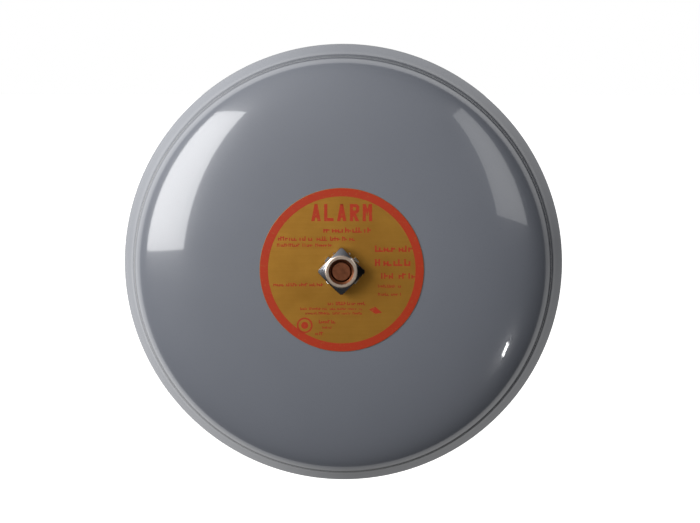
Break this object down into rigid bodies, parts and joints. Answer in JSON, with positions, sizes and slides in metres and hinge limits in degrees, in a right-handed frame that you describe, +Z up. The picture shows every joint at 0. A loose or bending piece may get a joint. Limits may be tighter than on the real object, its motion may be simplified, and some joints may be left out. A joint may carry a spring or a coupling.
{
  "type": "fire alarm bell",
  "caption": "Round wall-mounted vibrating alarm bell: enamelled steel gong on a post over a solenoid striker, contact set and back plate.",
  "frame": {"origin": "centre of the back plate's wall face", "axes": "+Z up; +Y into the wall, along the outward normal of the wall face; the gong faces -Y"},
  "size_m": [0.2032, 0.0574, 0.2032],
  "materials": {
    "gong_enamel": "gloss stoving enamel",
    "label_foil": "brushed foil, printed",
    "zinc_plate": "bright zinc",
    "coppered_steel": "copper flash, tarnished",
    "fibre": "vulcanised fibre",
    "post_steel": "zinc, turned",
    "plate_enamel": "satin enamel",
    "grommet_rubber": "matt",
    "black_phenolic": "moulded phenolic",
    "brass": "satin",
    "earth_green": "green lacquer",
    "passivated_steel": "yellow passivate",
    "nylon": "natural nylon",
    "copper_wire": "enamelled wire",
    "tape": "varnished cloth tape",
    "soft_iron": "turned",
    "stainless": "polished",
    "brown_phenolic": "machined laminate",
    "hammer_steel": "nickel, worn nose",
    "spring_bronze": "rolled strip",
    "silver_contact": "satin",
    "capacitor_case": "dipped",
    "red_lead": "PVC",
    "black_lead": "PVC",
    "white_lead": "PVC"
  },
  "bodies": {
    "frame": {"gong": "gong_enamel", "name_label": "label_foil", "gong_nut": "zinc_plate", "lock_washer": "zinc_plate", "gong_stud": "coppered_steel", "fibre_washer": "fibre", "gong_post": "post_steel", "post_rivets": "zinc_plate", "back_plate": "plate_enamel", "wire_grommet": "grommet_rubber", "terminal_block": "black_phenolic", "terminal_clamps": "brass", "terminal_screws": "brass", "block_mount_screws": "zinc_plate", "earth_washer": "brass", "earth_screw": "earth_green", "frame_pillars": "zinc_plate", "magnet_frame": "passivated_steel", "frame_screws": "zinc_plate", "coil_bobbin": "nylon", "coil_winding": "copper_wire", "coil_wrap": "tape", "guide_tube": "brass", "pole_bush": "soft_iron", "return_spring": "stainless", "guide_bracket": "passivated_steel", "guide_bush": "nylon", "guide_screws": "zinc_plate", "contact_block": "brown_phenolic", "contact_block_screw": "zinc_plate", "contact_bracket": "brass", "contact_bracket_screw": "zinc_plate", "contact_screw": "brass", "contact_lock_nut": "brass", "leaf_tag": "spring_bronze", "leaf_clamp": "brass", "leaf_clamp_screws": "zinc_plate", "capacitor": "capacitor_case", "capacitor_clip": "passivated_steel", "capacitor_clip_screw": "zinc_plate", "lead_coil_supply": "red_lead", "lead_coil_contact": "red_lead", "lead_leaf_supply": "black_lead", "lead_cap_contact": "white_lead", "lead_cap_leaf": "white_lead"},
    "striker": {"plunger": "soft_iron", "striker_rod": "stainless", "hammer_head": "hammer_steel", "bumper_washer": "grommet_rubber", "retaining_clip": "stainless", "drive_collar": "brown_phenolic"},
    "contact_arm": {"contact_leaf": "spring_bronze", "contact_button": "silver_contact"}
  },
  "joints": [
    {"name": "striker_travel", "type": "slide", "parent": "frame", "child": "striker", "axis": [0, 0, -1], "range_m": [0, 0.004], "stiffness_N_per_m": 300, "springref_m": -0.004, "deforming": ["return_spring"]},
    {"name": "contact_swing", "type": "hinge", "parent": "frame", "child": "contact_arm", "pos_m": [0.03, -0.03, -0.05685], "axis": [0, -1, 0], "range_deg": [0, 10.6]}
  ],
  "couplings": [
    {"joint": "contact_swing", "follows": "striker_travel", "rad_per_m": 45.455}
  ]
}
